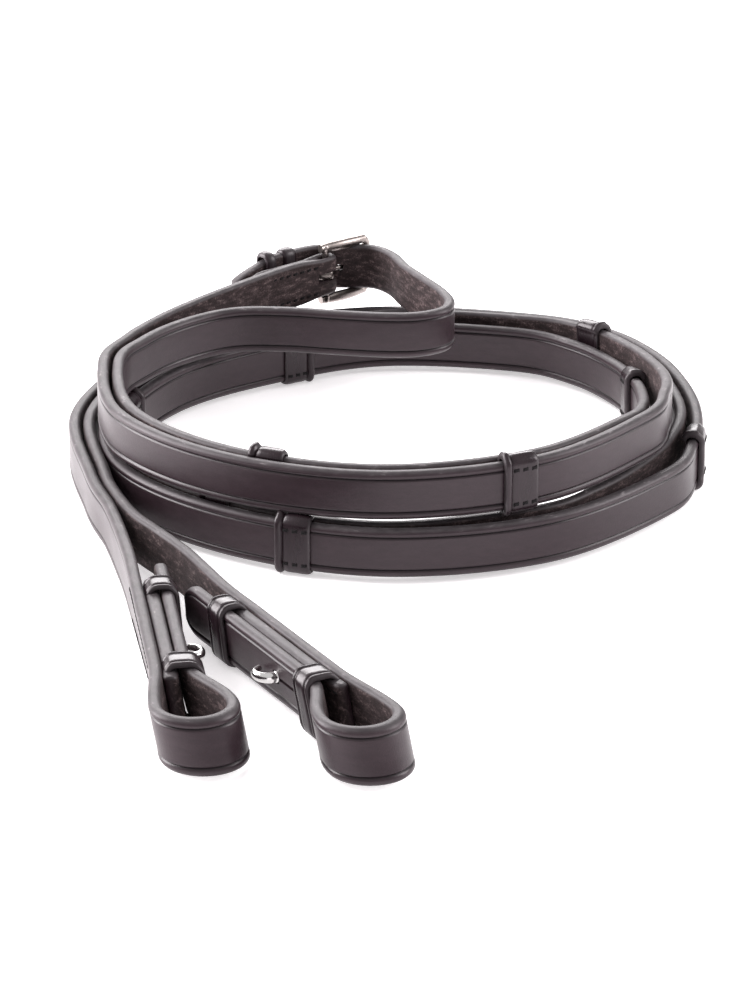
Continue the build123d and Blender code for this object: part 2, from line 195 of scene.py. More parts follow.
def billet_world(side):
    (cx, cy), angle, fold = BIT_ENDS[side]
    ax, ay = cos(radians(angle)), sin(radians(angle))
    bx, by = ay * fold, -ax * fold

    def world(along, across):
        return (cx + along * ax + (across - LOOP_OFF) * bx, cy + along * ay + (across - LOOP_OFF) * by)
    return world


def swell(along):
    return (1 + cos(pi * min(along, BULGE_L) / BULGE_L)) / 2


def main_across(along):
    return (LOOP_OFF - LOOP_R) * swell(along)


def return_across(along):
    return RETURN_OFF + (LOOP_OFF + LOOP_R - RETURN_OFF) * swell(along)


def ease(s, s0, s1):
    t = min(max((s - s0) / (s1 - s0), 0), 1)
    return t * t * (3 - 2 * t)


# ------------------------------------------------------------ mesh making
SPLAY = (3.2, -3.8)


def finish_mesh(name, verts, faces, material, lay=None, zone=None, sharp=38):
    """Closed smooth mesh from vertices in millimetres, with its leather coordinates and zones."""
    me = bpy.data.meshes.new(name)
    me.from_pydata([tuple(v) for v in np.asarray(verts, float) * MM], [], faces)
    bm = bmesh.new()
    bm.from_mesh(me)
    bmesh.ops.recalc_face_normals(bm, faces=bm.faces)
    bm.to_mesh(me)
    bm.free()
    for label, data in (("lay", lay), ("zone", zone)):
        if data is not None:
            layer = me.attributes.new(label, "FLOAT_VECTOR", "POINT")
            layer.data.foreach_set("vector", np.asarray(data, np.float32).ravel())
    me.shade_smooth()
    me.set_sharp_from_angle(angle=radians(sharp))
    me.materials.append(material)
    ob = bpy.data.objects.new(name, me)
    bpy.context.scene.collection.objects.link(ob)
    return ob


def merge(parts):
    """Several (verts, faces) as one."""
    verts, faces = [], []
    for v, f in parts:
        base = len(verts)
        verts += list(v)
        faces += [[base + i for i in face] for face in f]
    return verts, faces


HALF_COLS = [0.5, 1.2, 2.0, 3.4, 4.6, 4.95, 5.2, 5.4, 5.6, 5.85, 6.3, 6.75, 7.15, 7.5, 7.78, 7.95, 8.0]
COLS = np.array([-h for h in reversed(HALF_COLS)] + HALF_COLS)
EDGE_R = 1.55


def face_height(half, crease=True):
    """Height of both faces of a strap over its middle plane, per column."""
    over = np.maximum(np.abs(COLS) - (8 - EDGE_R), 0)
    edge = half - EDGE_R + np.sqrt(np.maximum(EDGE_R ** 2 - over ** 2, 0))
    grain, flesh = edge.copy(), edge.copy()
    if crease:
        grain -= 0.40 * np.exp(-((np.abs(COLS) - 5.4) / 0.24) ** 2)
        grain += 0.10 * np.exp(-((np.abs(COLS) - 6.5) / 0.6) ** 2)
    return grain, flesh


def splayed(point):
    """A point of a bit end, moved for the way the loops lean: the lower edge splays out forwards."""
    x, y, z = point
    lean = ease(-y, 25, 165) * (1 - (z - FLOOR_Z) / STRAP_W)
    return np.array((x + SPLAY[0] * lean, y + SPLAY[1] * lean, z))


def strip(line, stations, grain, width, thick, holes=(), slots=(), crease=True, waver=0.05):
    """Leather strip on edge. width(s) and thick(s) give its size; grain is +1 when the grain is left.
    holes are (s, radius); slots are (s0, s1, half height). Both go right through."""
    s = np.asarray(stations, float)
    n, m = len(s), len(COLS)
    at, along, left, up = line.frames(s)
    shift = np.zeros((n, m))
    high = np.tile(COLS, (n, 1))
    gone = np.zeros((n - 1, m - 1), bool)
    mid_s, mid_h = (s[1:] + s[:-1]) / 2, (COLS[1:] + COLS[:-1]) / 2
    for s0, radius in holes:
        gone |= (np.abs(mid_s - s0) < radius)[:, None] & (np.abs(mid_h) < 2.0)[None, :]
        near = (np.abs(s - s0) < radius + 0.01)[:, None] & (np.abs(COLS) < 2.01)[None, :]
        at_end = (np.abs(np.abs(s - s0) - radius) < 0.01)[:, None]
        rim = near & (at_end | (np.abs(np.abs(COLS) - 2) < 0.01)[None, :])
        ds, dh = np.broadcast_to((s - s0)[:, None], (n, m)), np.broadcast_to(COLS, (n, m))
        size = np.hypot(ds, dh) + 1e-9
        shift = np.where(rim, ds / size * radius - ds, shift)
        high = np.where(rim, dh / size * radius, high)
    for s0, s1, half in slots:
        gone |= ((mid_s > s0) & (mid_s < s1))[:, None] & (np.abs(mid_h) < half)[None, :]
    w = np.array([width(x) for x in s])
    t = np.array([thick(x) for x in s])
    verts, lay, zone = [], [], []
    for i in range(n):
        g, f = face_height(t[i] / 2 if t[i] > 2 * EDGE_R else EDGE_R, crease)
        if t[i] <= 2 * EDGE_R:
            g, f = g * t[i] / (2 * EDGE_R), f * t[i] / (2 * EDGE_R)
        side = left[i] * grain
        for sign, depth in ((1, g), (-1, f)):
            for j in range(m):
                h = high[i, j] * w[i] / 16
                wob = waver * noise.noise(Vector((s[i] * 0.11, h * 0.25, 3.7 * sign)))
                fine = 0.0 if sign > 0 else 0.05 * noise.noise(Vector((s[i] * 0.9, h * 0.9, 9.1)))
                away = sign * (depth[j] + wob + fine)
                verts.append(at[i] + along[i] * shift[i, j] + side * away + up[i] * h)
                lay.append(((s[i] + shift[i, j]) * MM, h * MM, away * MM))
                rim_zone = min(max((abs(COLS[j]) - 6.9) / 0.7, 0), 1)
                # painted shade mask: near-black colour along the grain-face crease, where shade falls
                crease_shade = np.exp(-((abs(COLS[j]) - 5.4) / 0.4) ** 2) if sign > 0 and crease else 0
                zone.append((rim_zone, (sign < 0) * (1 - rim_zone), crease_shade))
    faces = []

    def v(i, j, sheet):
        return i * 2 * m + sheet * m + j

    for i in range(n - 1):
        for j in range(m - 1):
            if not gone[i, j]:
                faces.append([v(i, j, 0), v(i + 1, j, 0), v(i + 1, j + 1, 0), v(i, j + 1, 0)])
                faces.append([v(i, j, 1), v(i, j + 1, 1), v(i + 1, j + 1, 1), v(i + 1, j, 1)])
                continue
            for di, dj, a, b in ((-1, 0, (i, j), (i, j + 1)), (1, 0, (i + 1, j), (i + 1, j + 1)),
                                 (0, -1, (i, j), (i + 1, j)), (0, 1, (i, j + 1), (i + 1, j + 1))):
                if not gone[min(max(i + di, 0), n - 2), min(max(j + dj, 0), m - 2)]:
                    faces.append([v(*a, 0), v(*b, 0), v(*b, 1), v(*a, 1)])
        for j in (0, m - 1):
            faces.append([v(i, j, 0), v(i + 1, j, 0), v(i + 1, j, 1), v(i, j, 1)])
    for i in (0, n - 1):
        for j in range(m - 1):
            faces.append([v(i, j, 0), v(i, j + 1, 0), v(i, j + 1, 1), v(i, j, 1)])
    used = sorted({k for f in faces for k in f})
    index = {k: q for q, k in enumerate(used)}
    faces = [[index[k] for k in f] for f in faces]
    return [verts[k] for k in used], faces, [lay[k] for k in used], [zone[k] for k in used]


def rounding(s, start, end, reach=1.5, floor=0.35):
    """Share of the full thickness near rounded cut ends."""
    near = min(s - start, end - s)
    if near >= reach:
        return 1.0
    return floor + (1 - floor) * sqrt(max(1 - (1 - max(near, 0) / reach) ** 2, 0))


def tube(points, size, up, sides=14):
    """Rod along points; size(k) gives its half width and half height at point k, up its height axis."""
    p = np.array(points, float)
    n = len(p)
    ring = [(cos(2 * pi * k / sides), sin(2 * pi * k / sides)) for k in range(sides)]
    verts, faces = [], []
    up = np.array(up, float)
    for i in range(n):
        along = p[min(i + 1, n - 1)] - p[max(i - 1, 0)]
        along = along / np.linalg.norm(along)
        across = np.cross(up, along)
        across /= np.linalg.norm(across)
        top = np.cross(along, across)
        a, b = size(i)
        verts += [p[i] + across * a * c + top * b * d for c, d in ring]
    for i in range(n - 1):
        for k in range(sides):
            q, j = (k + 1) % sides, i + 1
            faces.append([i * sides + k, i * sides + q, j * sides + q, j * sides + k])
    faces.append(list(range(sides)))
    faces.append([(n - 1) * sides + k for k in range(sides)])
    return verts, faces


# ------------------------------------------------------------ materials
def new_material(name):
    mat = bpy.data.materials.new(name)
    mat.use_nodes = True
    tree = mat.node_tree
    shader = tree.nodes["Principled BSDF"]

    def add(kind, inputs=None, **settings):
        node = tree.nodes.new(kind)
        for key, value in settings.items():
            setattr(node, key, value)
        for key, value in (inputs or {}).items():
            if isinstance(value, bpy.types.NodeSocket):
                tree.links.new(value, node.inputs[key])
            else:
                node.inputs[key].default_value = value
        return node

    def link(socket, target):
        tree.links.new(socket, shader.inputs[target])
    return mat, shader, add, link


def ramp(add, factor, stops):
    node = add("ShaderNodeValToRGB", {"Fac": factor})
    ends = node.color_ramp.elements
    while len(ends) < len(stops):
        ends.new(0.5)
    for element, (place, colour) in zip(ends, stops):
        element.position = place
        element.color = (*colour, 1)
    return node.outputs["Color"]


def mix(add, factor, a, b):
    node = add("ShaderNodeMix", data_type="RGBA")
    tree = node.id_data
    for socket, value in ((node.inputs["Factor"], factor), (node.inputs[6], a), (node.inputs[7], b)):
        if isinstance(value, bpy.types.NodeSocket):
            tree.links.new(value, socket)
        else:
            socket.default_value = value
    return node.outputs[2]


def blend_value(add, factor, a, b):
    node = add("ShaderNodeMix", data_type="FLOAT")
    tree = node.id_data
    for socket, value in ((node.inputs[0], factor), (node.inputs[2], a), (node.inputs[3], b)):
        if isinstance(value, bpy.types.NodeSocket):
            tree.links.new(value, socket)
        else:
            socket.default_value = value
    return node.outputs[0]


def leather(name, dark, light, rough):
    """Bridle leather: waxed grain with pores, burnished rims, painted shade darkening the creases, and a
    fibrous flesh side.
    """
    mat, shader, add, link = new_material(name)
    lay = add("ShaderNodeAttribute", attribute_name="lay").outputs["Vector"]
    zone = add("ShaderNodeAttribute", attribute_name="zone").outputs["Vector"]
    zone = add("ShaderNodeSeparateXYZ", {0: zone})
    rim, back, crease_shade = zone.outputs[0], zone.outputs[1], zone.outputs[2]
    stretched = add("ShaderNodeVectorMath", {0: lay, 1: (0.35, 1.0, 1.0)}, operation="MULTIPLY").outputs[0]
    broad = add("ShaderNodeTexNoise", {"Vector": stretched, "Scale": 60.0, "Detail": 5.0}).outputs["Fac"]
    pores = add("ShaderNodeTexVoronoi", {"Vector": lay, "Scale": 1150.0}, feature="DISTANCE_TO_EDGE")
    pore = ramp(add, pores.outputs["Distance"], [(0.0, (0, 0, 0)), (0.16, (1, 1, 1))])
    wrinkle = add("ShaderNodeTexNoise", {"Vector": stretched, "Scale": 520.0, "Detail": 4.0,
                                         "Roughness": 0.6}).outputs["Fac"]
    worn = ramp(add, wrinkle, [(0.35, (0.75, 0.75, 0.75)), (0.7, (1.2, 1.2, 1.2))])
    grain_colour = add("ShaderNodeMix", {}, data_type="RGBA", blend_type="MULTIPLY")
    tree = grain_colour.id_data
    grain_colour.inputs[0].default_value = 0.55
    tree.links.new(ramp(add, broad, [(0.30, dark), (0.72, light)]), grain_colour.inputs[6])
    tree.links.new(worn, grain_colour.inputs[7])
    colour = grain_colour.outputs[2]
    # painted shade: the creases are darkened to near black
    colour = mix(add, crease_shade, colour, (0.006, 0.004, 0.005, 1))
    fibre = add("ShaderNodeTexNoise", {"Vector": lay, "Scale": 1500.0, "Detail": 8.0, "Roughness": 0.75,
                                       "Distortion": 0.6}).outputs["Fac"]
    fibre_wide = add("ShaderNodeTexNoise", {"Vector": stretched, "Scale": 650.0, "Detail": 6.0,
                                            "Roughness": 0.65}).outputs["Fac"]
    nap = add("ShaderNodeMath", {0: fibre, 1: fibre_wide}, operation="ADD").outputs[0]
    nap = add("ShaderNodeMath", {0: nap, 1: 0.5}, operation="MULTIPLY").outputs[0]
    flesh_colour = ramp(add, nap, [(0.36, (0.009, 0.0050, 0.0048)), (0.48, (0.019, 0.0110, 0.0110)),
                                   (0.54, (0.040, 0.026, 0.0265)), (0.64, (0.15, 0.108, 0.106))])
    edge_colour = ramp(add, wrinkle, [(0.3, (0.022, 0.018, 0.020)), (0.62, (0.050, 0.043, 0.046)),
                                      (0.72, (0.15, 0.135, 0.14))])
    colour = mix(add, back, colour, flesh_colour)
    colour = mix(add, rim, colour, edge_colour)
    link(colour, "Base Color")
    grain_rough = add("ShaderNodeMapRange",
                      {0: broad, 1: 0.3, 2: 0.75, 3: rough - 0.06, 4: rough + 0.08}).outputs[0]
    value = blend_value(add, back, grain_rough, 0.86)
    value = blend_value(add, rim, value, rough + 0.20)
    link(value, "Roughness")
    shader.inputs["Specular IOR Level"].default_value = 0.34
    shader.inputs["Specular Tint"].default_value = (1.0, 0.93, 0.965, 1)
    shader.inputs["Coat Weight"].default_value = 0.03
    shader.inputs["Coat Roughness"].default_value = 0.25
    fine = add("ShaderNodeBump", {"Strength": 0.16, "Distance": 0.00006, "Height": pore})
    coarse = add("ShaderNodeBump", {"Strength": 0.30, "Distance": 0.00012, "Height": wrinkle,
                                    "Normal": fine.outputs[0]})
    napped = add("ShaderNodeBump", {"Strength": 0.9, "Distance": 0.00035, "Height": nap})
    joined = mix(add, back, coarse.outputs[0], napped.outputs[0])
    link(joined, "Normal")
    return mat


def thread_material():
    mat, shader, add, link = new_material("waxed_thread")
    place = add("ShaderNodeTexCoord").outputs["Object"]
    twist = add("ShaderNodeTexWave", {"Vector": place, "Scale": 900.0, "Distortion": 1.5, "Detail": 2.0},
                bands_direction="DIAGONAL").outputs["Fac"]
    link(ramp(add, twist, [(0.1, (0.002, 0.0015, 0.002)), (0.9, (0.012, 0.010, 0.011))]), "Base Color")
    shader.inputs["Roughness"].default_value = 0.6
    shader.inputs["Specular IOR Level"].default_value = 0.12
    link(add("ShaderNodeBump", {"Strength": 0.5, "Distance": 0.00008, "Height": twist}).outputs[0], "Normal")
    return mat


def steel_material(name, dark, light, rough):
    mat, shader, add, link = new_material(name)
    place = add("ShaderNodeTexCoord").outputs["Object"]
    cloud = add("ShaderNodeTexNoise", {"Vector": place, "Scale": 260.0, "Detail": 5.0}).outputs["Fac"]
    scratch = add("ShaderNodeTexNoise", {"Vector": add(
        "ShaderNodeVectorMath", {0: place, 1: (1.0, 1.0, 0.12)}, operation="MULTIPLY").outputs[0],
        "Scale": 2600.0, "Detail": 3.0}).outputs["Fac"]
    link(ramp(add, cloud, [(0.3, dark), (0.7, light)]), "Base Color")
    shader.inputs["Metallic"].default_value = 1.0
    link(add("ShaderNodeMapRange",
             {0: scratch, 1: 0.3, 2: 0.7, 3: rough, 4: rough + 0.12}).outputs[0], "Roughness")
    link(add("ShaderNodeBump",
             {"Strength": 0.12, "Distance": 0.00003, "Height": scratch}).outputs[0], "Normal")
    return mat


REIN = leather("bridle_leather", (0.0165, 0.0082, 0.0115), (0.029, 0.0185, 0.0225), 0.36)
BAND = leather("keeper_leather", (0.0095, 0.0046, 0.0066), (0.0185, 0.0112, 0.0142), 0.30)
THREAD = thread_material()
BUCKLE_STEEL = steel_material("buckle_steel", (0.17, 0.148, 0.140), (0.30, 0.265, 0.252), 0.27)
STUD_STEEL = steel_material("stud_steel", (0.62, 0.61, 0.60), (0.80, 0.79, 0.78), 0.10)


# ------------------------------------------------------------ the two reins
def at_buckle(x, y):
    c, s = cos(radians(BUCKLE_DIR)), sin(radians(BUCKLE_DIR))
    return (BAR_POS[0] + x * c - y * s, BAR_POS[1] + x * s + y * c)


def rein_lines():
    """Whole centre lines, from the buckle to the billet tip, at mid height."""
    lift = STRAP_W / 2
    lines = {}
    for side, lead, coil, tail in (("left", BUCKLE_LEAD, BUCKLE_COIL, BUCKLE_TAIL),
                                   ("right", POINT_LEAD, POINT_COIL, POINT_TAIL)):
        world = billet_world(side)
        ends = [(*world(a, 0), FLOOR_Z) for a in (100, 80, 60, 45, BULGE_L)]
        route = smooth(lead + [coil_point(*p) for p in coil] + tail + ends, 0.8)
        points = [(x, y, z + lift) for x, y, z in route]
        points += [(*world(a, main_across(a)), CENTRE_Z) for a in np.arange(BULGE_L - 1, 0, -1)]
        turn = [(LOOP_R * sin(radians(a)), LOOP_OFF - LOOP_R * cos(radians(a))) for a in range(0, 181, 4)]
        points += [(*world(-x, y), CENTRE_Z) for x, y in turn]
        points += [(*world(a, return_across(a)), CENTRE_Z) for a in np.arange(1, BULGE_L + 1)]
        points.append((*world(BILLET_L, RETURN_OFF), CENTRE_Z))
        if side == "left":
            fold_r = BAR_R + 0.3 + CHAPE_T / 2
            arc = [(fold_r * sin(radians(a)), fold_r * cos(radians(a))) for a in range(0, 181, 10)]
            local = [(-CHAPE_L, 0.6), (-10, 0.6), (-4.5, 1.9)] + arc + [(-4, -fold_r - 0.3)]
            points = [(*at_buckle(x, y), BUCKLE_Z + lift) for x, y in local] + points
        lines[side] = Line(points)
    return lines


LINES = rein_lines()
GRAIN = {"left": -1, "right": 1}
SPLITS = {side: LINES[side].nearest(*tail[0][:2])
          for side, tail in (("left", BUCKLE_TAIL), ("right", POINT_TAIL))}


def coil_strap(side, name, node):
    line = LINES[side]
    split = SPLITS[side]
    if side == "left":
        bar = line.nearest(*at_buckle(BAR_R + 1.5, 0), BUCKLE_Z + 8)

        def width(s):
            tip = min(1.0, 0.62 + 0.38 * sqrt(min(s / 5.0, 1)))
            return (CHAPE_W + (STRAP_W - CHAPE_W) * ease(s, bar + 6, bar + 20)) * tip

        def thick(s):
            return (CHAPE_T + (STRAP_T - CHAPE_T) * ease(s, bar + 5, bar + 16)) * rounding(s, 0, NO_END)
        slots = [(bar - SLOT_L, bar + SLOT_L, 2.0)]
        extra = [0.2, 0.5, 1.0, 1.6, bar - SLOT_L, bar + SLOT_L]
        stations = line.stations(0, split, extra=extra)
        data = strip(line, stations, GRAIN[side], width, thick, slots=slots)
    else:
        hole = line.nearest(*at_buckle(9, 3.0), BUCKLE_Z + 8)

        def width(s):
            return 3.4 + 12.6 * min(1.0, (max(s, 0) / 19.0) ** 0.62)

        def thick(s):
            return STRAP_T * rounding(s, 0, NO_END)
        extra = [0.2, 0.5, 1.0, 1.6, 2.4, 3.5, 5] + [hole + d for d in (-2, -1, 0, 1, 2)]
        stations = line.stations(0, split, extra=extra)
        data = strip(line, stations, GRAIN[side], width, thick, holes=[(hole, TONGUE_HOLE_R)])
    ob = finish_mesh(name, data[0], data[1], REIN, data[2], data[3])
    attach(ob, "coiled_reins")
    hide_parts(node)


def end_strap(side):
    line = LINES[side]
    world = billet_world(side)
    split, end = SPLITS[side], line.length
    stud = line.nearest(*world(STUD_A, RETURN_OFF), CENTRE_Z)

    def width(s):
        return STRAP_W * sqrt(max(1 - max(0, 1 - (end - s) / 8.0) ** 2.2, 0.03))

    def thick(s):
        return STRAP_T * rounding(s, -NO_END, end)
    extra = [stud + d for d in (-11, -2, -1, 0, 1, 2)]
    extra += [end - d for d in (0.15, 0.4, 0.8, 1.4, 2.2, 3.2, 4.4, 6)]
    stations = line.stations(split, end, extra=extra)
    data = strip(line, stations, GRAIN[side], width, thick, holes=[(stud, STUD_HOLE_R)],
                 slots=[(stud - 11, stud - 2, 0.5)])
    ob = finish_mesh(f"{side}_billet_strap", [splayed(v) for v in data[0]], data[1], REIN, data[2], data[3])
    start = Vector(line.at(split)[0]) * MM
    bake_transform(ob)
    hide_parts(f"{side}_bit_end_strap")


coil_strap("left", "buckle_rein_leather", "buckle_rein_strap")
coil_strap("right", "point_rein_leather", "point_rein_strap")
for side in ("left", "right"):
    end_strap(side)


# ------------------------------------------------------------ bands: hand stops and keepers
def rounded_loop(b0, b1, z0, z1, radius, step=0.55):
    """Closed inner outline of a band: points and outward normals, anticlockwise."""
    points = []
    corners = ((b1 - radius, z0 + radius, -90), (b1 - radius, z1 - radius, 0),
               (b0 + radius, z1 - radius, 90), (b0 + radius, z0 + radius, 180))
    for k, (cb, cz, first) in enumerate(corners):
        for a in range(0, 91, 15):
            t = radians(first + a)
            points.append((cb + radius * cos(t), cz + radius * sin(t), cos(t), sin(t)))
        nb, nz, nfirst = corners[(k + 1) % 4]
        t = radians(first + 90)
        start = (cb + radius * cos(t), cz + radius * sin(t))
        t2 = radians(nfirst)
        stop = (nb + radius * cos(t2), nz + radius * sin(t2))
        count = int(dist(start, stop) / step / 2)
        for q in range(1, count):
            f = q / count
            points.append((start[0] + f * (stop[0] - start[0]), start[1] + f * (stop[1] - start[1]),
                           cos(t), sin(t)))
    return points


def band(loop, section, place, thick):
    """Closed strip round a loop. section is (along, height 0..1, zone) round the strip's own section;
    place(along, across, up) gives the point; thick(nb, nz) the thickness for a wall facing that way."""
    n, m = len(loop), len(section)
    verts, lay, zone, faces = [], [], [], []
    run = 0.0
    for i, (b, z, nb, nz) in enumerate(loop):
        if i:
            run += dist(loop[i - 1][:2], (b, z))
        depth = thick(nb, nz)
        for along, rise, mark in section:
            wob = 0.06 * noise.noise(Vector((run * 0.35, along * 0.5, b + 5)))
            d = rise * depth + (wob if rise > 0.3 else 0)
            verts.append(place(along, b + nb * d, z + nz * d))
            lay.append((run * MM, along * MM, d * MM))
            zone.append(mark)
    for i in range(n):
        for k in range(m):
            j, q = (i + 1) % n, (k + 1) % m
            faces.append([i * m + k, i * m + q, j * m + q, j * m + k])
    return verts, faces, lay, zone


def band_section(length, bead=False):
    """Section of a band: flat inside, rounded edges, creases or a rolled bead outside."""
    half = length / 2
    points = [(half - 0.5, 0.0), (-half + 0.5, 0.0)]
    if bead:
        centre, r = -half + 1.1, 1.15
        points.append((-half, 0.15))
        for a in range(190, -1, -24):
            points.append((centre + r * cos(radians(a)), 0.72 + 0.86 * max(sin(radians(a)), -0.3)))
        points += [(centre + r + 0.25, 0.62), (centre + r + 0.55, 0.82), (centre + r + 1.1, 0.97)]
    else:
        points += [(-half + 0.12, 0.1), (-half, 0.4), (-half + 0.15, 0.8), (-half + 0.5, 1.0),
                   (-half + 1.1, 1.03), (-half + 1.45, 0.82), (-half + 1.65, 0.76),
                   (-half + 1.85, 0.84), (-half + 2.2, 1.02)]
    inner = points[-1][0]
    steps = 5
    for k in range(1, steps):
        points.append((inner + (half - 2.2 - inner) * k / steps, 1.03))
    if bead:
        points += [(half - 2.2, 1.01), (half - 1.4, 0.96), (half - 0.8, 0.88), (half - 0.35, 0.74),
                   (half - 0.08, 0.5), (half, 0.25), (half - 0.12, 0.06)]
    else:
        points += [(half - 2.2, 1.02), (half - 1.85, 0.86), (half - 1.65, 0.78), (half - 1.45, 0.84),
                   (half - 1.1, 1.02), (half - 0.5, 0.98), (half - 0.15, 0.78), (half, 0.4),
                   (half - 0.12, 0.1)]
    result = []
    for along, rise in points:
        # painted shade mask for the band's creases
        crease_shade = 0.8 if 0.7 < rise < 0.87 and abs(abs(along) - (half - 1.65)) < 0.25 else 0.0
        rim = 1.0 if abs(abs(along) - half) < 0.4 and rise > 0.05 else 0.0
        result.append((along, rise, (rim * 0.6, 1.0 if rise == 0 else 0.0, crease_shade)))
    return result


def stitch(place, along, out, up, length=2.0, width=0.36, height=0.26, slant=0.12):
    """One sewn stitch, a small sunk capsule with a wider dark hole at each end; place maps
    (along, out, up) to a point."""
    rings, sides = 11, 8
    verts, faces = [], []
    for i in range(rings):
        f = i / (rings - 1)
        size = sqrt(max(1 - (2 * f - 1) ** 6, 0.0)) * 0.92 + 0.08
        hole = max(0.0, abs(2 * f - 1) - 0.5) * 2
        wide = width * (1 + 0.55 * sin(pi * hole)) * size
        arch = 0.12 * (1 - (2 * f - 1) ** 2) - 0.10 * hole
        for k in range(sides):
            t = 2 * pi * k / sides
            verts.append(place(along + (f - 0.5) * length, out + arch + height * size * sin(t) * 0.8,
                               up + (f - 0.5) * slant * length + wide * cos(t)))
    for i in range(rings - 1):
        for k in range(sides):
            q = (k + 1) % sides
            faces.append([i * sides + k, i * sides + q, (i + 1) * sides + q, (i + 1) * sides + k])
    faces.append(list(range(sides)))
    faces.append([(rings - 1) * sides + k for k in range(sides)])
    return verts, faces


def coil_station(side, angle, start):
    """Length along a rein where it passes a coil angle."""
    line = LINES[side]
    x = line.p[:, 0] - COIL_CENTRE[0]
    y = line.p[:, 1] - COIL_CENTRE[1]
    here = line.s > start
    turned = np.degrees(np.unwrap(np.arctan2(y[here], x[here])))
    turned += turned[0] % 360 - turned[0]
    return line.s[here][int(np.argmin(np.abs(turned - angle)))]


def hand_stop(side, angle, name, start):
    line = LINES[side]
    s = coil_station(side, angle, start)
    grain = GRAIN[side]

    def place(a, b, c):
        bow = line.frames(min(max(s + a, 0), line.length))
        return bow[0][0] + bow[2][0] * grain * b + bow[3][0] * c

    def wall(nb, nz):
        """Thickness of the band: full outside, fuller on top, thin at the back."""
        if nb > 0.3:
            return STOP_WALL
        if nz > 0.25:
            return STOP_WALL + 0.35 * nz
        return 0.62 + 0.4 * max(nb + 0.9, 0) if nb < -0.1 else 1.1

    loop = rounded_loop(-STRAP_T / 2 - STOP_IN, STRAP_T / 2 + STOP_OUT,
                        -STRAP_W / 2 - STOP_IN, STRAP_W / 2 + 0.6, 1.7)
    data = band(loop, band_section(STOP_L, bead=True), place, wall)
    ob = finish_mesh(name, data[0], data[1], BAND, data[2], data[3], sharp=60)
    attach(ob, "coiled_reins")
    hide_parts(name.replace("_band", ""))
    face = STRAP_T / 2 + STOP_OUT + STOP_WALL
    return [stitch(place, a, face + 0.02, c, width=0.5, height=0.32)
            for a in (-2.0, 1.0, 4.0) for c in (-5.6, 5.6)]


threads = []
for number, angle in enumerate(BUCKLE_STOPS, 1):
    begin = LINES["left"].nearest(BUCKLE_LEAD[0][0], BUCKLE_LEAD[0][1], BUCKLE_Z + 8)
    threads += hand_stop("left", angle, f"buckle_rein_stop_{number}_band", begin)
for number, angle in enumerate(POINT_STOPS, 1):
    begin = LINES["right"].nearest(POINT_LEAD[-1][0], POINT_LEAD[-1][1], 28)
    threads += hand_stop("right", angle, f"point_rein_stop_{number}_band", begin)
sewn = merge(threads)
ob = finish_mesh("hand_stop_thread", sewn[0], sewn[1], THREAD)
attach(ob, "coiled_reins")
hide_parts("hand_stop_stitches")


# ------------------------------------------------------------ billets
def billet_place(side):
    world = billet_world(side)

    def place(a, b, z):
        x, y = world(a, b)
        return splayed((x + COIL_CENTRE[0], y + COIL_CENTRE[1], z))
    return place


def keeper(side, centre, name):
    place = billet_place(side)
    far = return_across(centre - KEEPER_L / 2) + STRAP_T / 2 + 0.2
    loop = rounded_loop(3.4, far, FLOOR_Z - 0.05, FLOOR_Z + STRAP_W + 0.25, 2.6)
    data = band(loop, band_section(KEEPER_L), lambda a, b, c: place(centre + a, b, c),
                lambda nb, nz: KEEPER_T if abs(nb) > 0.7 else 1.15 + 0.45 * max(nz, 0.0))
    ob = finish_mesh(name + "_band", data[0], data[1], BAND, data[2], data[3], sharp=60)
    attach(ob, f"{side}_bit_end")
    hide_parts(name)


def backing(side):
    world = billet_world(side)
    points = [(*world(a, BACK_OFF + main_across(a)), CENTRE_Z) for a in np.arange(19, 91.5, 1)]
    line = Line(points)

    def thick(s):
        return BACK_T * rounding(s, 0, line.length, floor=0.5)
    stations = line.stations(0, line.length, extra=[0.2, 0.5, 1.0, line.length - 0.5, line.length - 0.2])
    data = strip(line, stations, -GRAIN[side], lambda s: BACK_W, thick, crease=False)
    ob = finish_mesh(f"{side}_backing_leather", [splayed(v) for v in data[0]],
                     data[1], REIN, data[2], data[3])
    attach(ob, f"{side}_bit_end")
    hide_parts(f"{side}_stud_backing")


def hook_stud(side):
    place = billet_place(side)
    mid = CENTRE_Z
    face = RETURN_OFF + STRAP_T / 2
    up = (0, 0, 1)
    parts = []
    plate = [place(STUD_A, b, mid) for b in (2.05, 2.1, 2.25, 2.45, 2.65, 2.8, 2.85)]
    radii = (3.9, 4.3, 4.55, 4.6, 4.5, 4.2, 3.6)
    parts.append(tube(plate, lambda k: (radii[k], radii[k]), up, sides=40))
    shank = [place(STUD_A, b, mid) for b in np.linspace(2.5, face + 0.6, 9)]
    parts.append(tube(shank, lambda k: (1.35, 1.35), up, sides=20))
    collar = [place(STUD_A, b, mid) for b in (face - 0.1, face, face + 0.2, face + 0.45, face + 0.6)]
    wide = (1.6, 1.85, 1.8, 1.6, 1.2)
    parts.append(tube(collar, lambda k: (wide[k], wide[k]), up, sides=24))
    steps = 30
    arc = [place(STUD_A + HOOK_R - HOOK_R * cos(pi * k / steps),
                 face + 0.55 + HOOK_R * sin(pi * k / steps), mid) for k in range(steps + 1)]

    def size(k):
        f = k / steps
        taper = 1.28 - 0.55 * f ** 1.4
        cap = sqrt(max(1 - max(0, (f - 0.94) / 0.06) ** 2, 0.04))
        return (taper * cap * 1.1, taper * cap * 1.35)
    parts.append(tube(arc, size, up, sides=18))
    data = merge(parts)
    ob = finish_mesh(f"{side}_hook_stud_steel", data[0], data[1], STUD_STEEL)
    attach(ob, f"{side}_bit_end")
    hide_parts(f"{side}_hook_stud")


